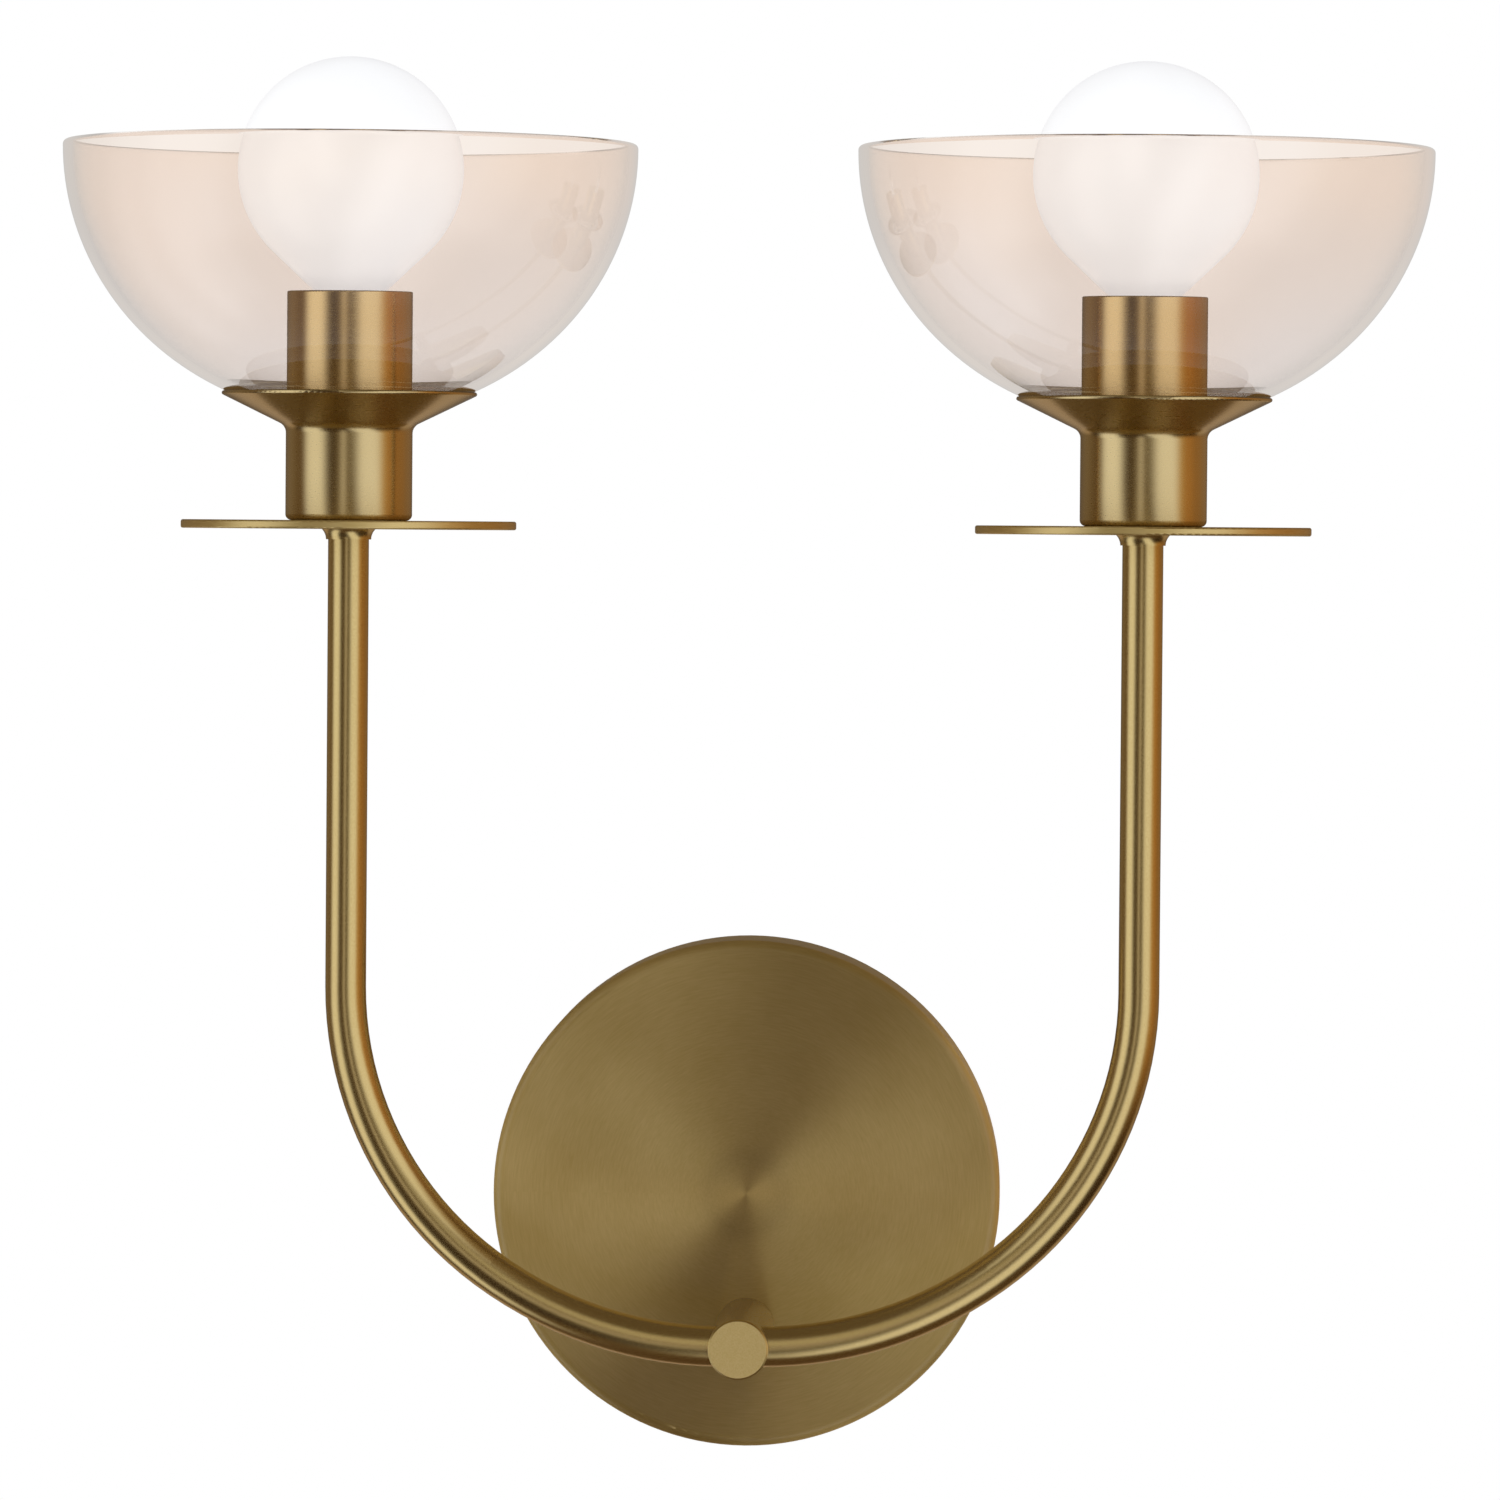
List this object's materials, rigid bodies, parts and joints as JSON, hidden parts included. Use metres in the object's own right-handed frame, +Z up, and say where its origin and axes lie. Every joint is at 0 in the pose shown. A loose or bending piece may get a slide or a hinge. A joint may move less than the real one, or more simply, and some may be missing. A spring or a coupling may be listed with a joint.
{
  "type": "double arm wall sconce",
  "caption": "Brass wall light: a round canopy and a short post carry two upswept bent tubes, each with a disc, a flared cup and an open tinted glass bowl round a globe bulb.",
  "frame": {"origin": "centre of the canopy's open back, on the wall's plane", "axes": "+Z up, +Y into the wall, -Y out into the room, +X to the right seen from the room"},
  "size_m": [0.3174, 0.1386, 0.3272],
  "materials": {
    "satin_brass": "satin, brushed",
    "tinted_glass": "polished, faint rose-beige tint",
    "opal_glass": "opal, glossy",
    "zinc_steel": "zinc plated",
    "green_steel": "green dyed plating",
    "tinned_brass": "bright",
    "bare_copper": "bare drawn wire",
    "black_insulation": "smooth",
    "white_insulation": "smooth",
    "orange_plastic": "ribbed, semi-gloss",
    "silicone": "translucent, matt",
    "porcelain": "glazed",
    "bulb_nickel": "rolled, nickel plated",
    "solder": "tin solder",
    "black_glass": "glossy",
    "clear_glass": "clear",
    "tungsten": "drawn wire"
  },
  "bodies": {
    "fixture": {"arm_collar_left": "satin_brass", "arm_collar_right": "satin_brass", "arm_left": "satin_brass", "arm_right": "satin_brass", "bowl_left": "tinted_glass", "bowl_right": "tinted_glass", "canopy": "satin_brass", "canopy_nipple": "zinc_steel", "canopy_nut": "zinc_steel", "canopy_screws": "zinc_steel", "canopy_washer": "zinc_steel", "crossbar": "zinc_steel", "cup_gasket_left": "silicone", "cup_gasket_right": "silicone", "cup_left": "satin_brass", "cup_nuts": "zinc_steel", "cup_right": "satin_brass", "cup_washers": "zinc_steel", "disc_left": "satin_brass", "disc_right": "satin_brass", "ground_lead": "bare_copper", "ground_screw": "green_steel", "ground_terminals": "tinned_brass", "hot_leads": "black_insulation", "neutral_leads": "white_insulation", "post": "satin_brass", "post_cap": "satin_brass", "sleeve_gasket_left": "silicone", "sleeve_gasket_right": "silicone", "sleeve_left": "satin_brass", "sleeve_right": "satin_brass", "socket_body_left": "porcelain", "socket_body_right": "porcelain", "socket_cap_left": "zinc_steel", "socket_cap_right": "zinc_steel", "socket_contact_left": "tinned_brass", "socket_contact_right": "tinned_brass", "socket_shell_left": "tinned_brass", "socket_shell_right": "tinned_brass", "wire_connectors": "orange_plastic"},
    "bulb_left": {"bulb_envelope_left": "opal_glass", "bulb_base_left": "bulb_nickel", "bulb_insulator_left": "black_glass", "bulb_contact_left": "solder", "bulb_stem_left": "clear_glass", "bulb_filament_left": "tungsten"},
    "bulb_right": {"bulb_envelope_right": "opal_glass", "bulb_base_right": "bulb_nickel", "bulb_insulator_right": "black_glass", "bulb_contact_right": "solder", "bulb_stem_right": "clear_glass", "bulb_filament_right": "tungsten"}
  },
  "joints": [
    {"name": "bulb_left_lift", "type": "slide", "parent": "fixture", "child": "bulb_left", "axis": [0, 0, 1], "range_m": [0, 0.075]},
    {"name": "bulb_right_lift", "type": "slide", "parent": "fixture", "child": "bulb_right", "axis": [0, 0, 1], "range_m": [0, 0.075]}
  ]
}
